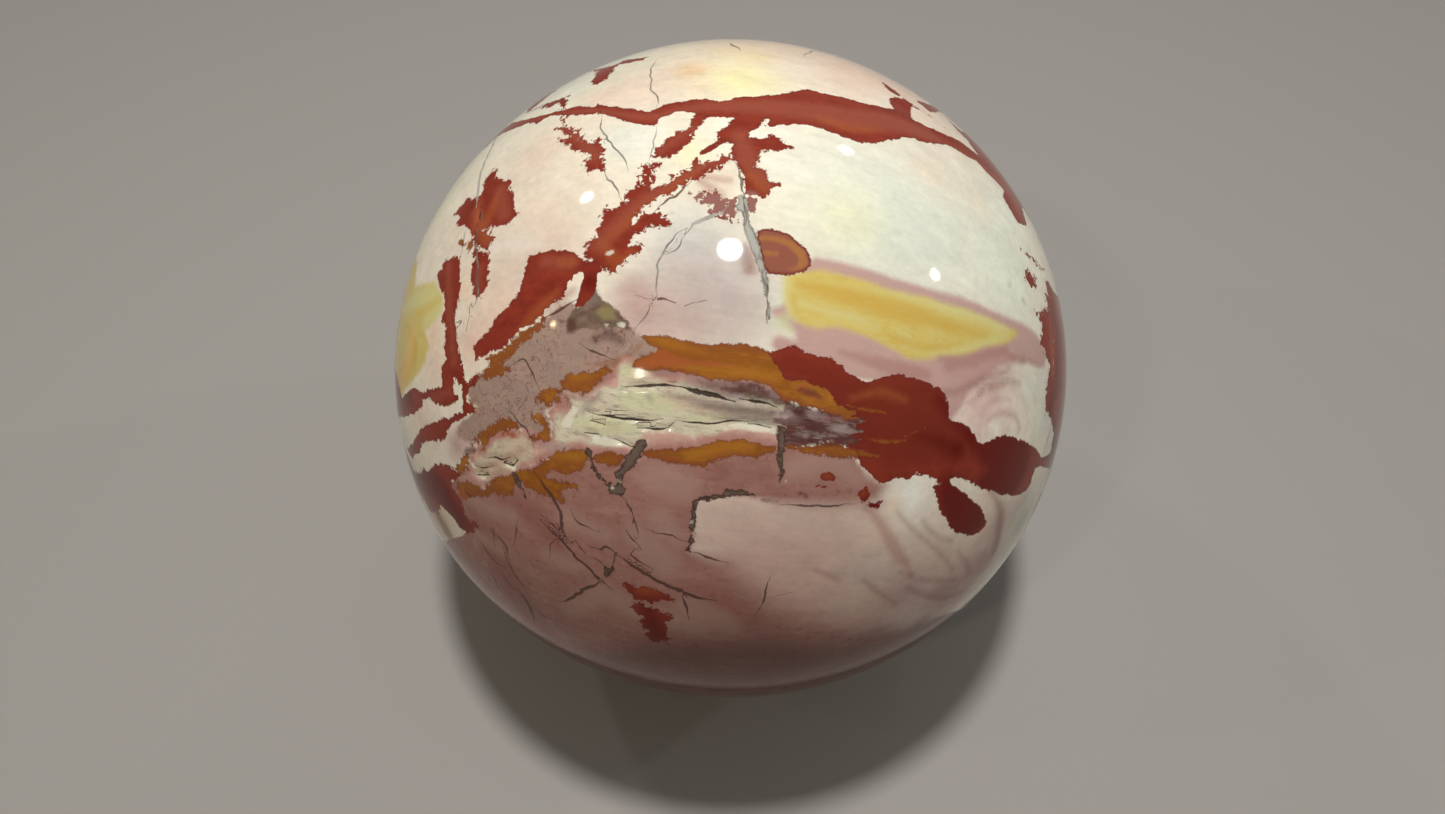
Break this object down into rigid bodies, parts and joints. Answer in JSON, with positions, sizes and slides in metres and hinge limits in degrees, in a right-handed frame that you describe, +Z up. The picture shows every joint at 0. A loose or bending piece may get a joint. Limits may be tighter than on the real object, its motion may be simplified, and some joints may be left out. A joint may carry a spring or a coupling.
{
  "type": "jasper sphere",
  "caption": "Polished picture jasper sphere, cream and mauve with brick-red and ochre markings, standing on a small flat on its underside.",
  "frame": {"origin": "middle of the small resting flat on the underside, on the surface the stone stands on", "axes": "+Z up through the middle of the stone, -Y towards the side with the large brick-red and ochre lens, +X to the right when that side is faced"},
  "size_m": [0.101, 0.101, 0.0955],
  "materials": {
    "polished_jasper": "polished"
  },
  "bodies": {
    "root": {"jasper_sphere": "polished_jasper"}
  },
  "joints": []
}
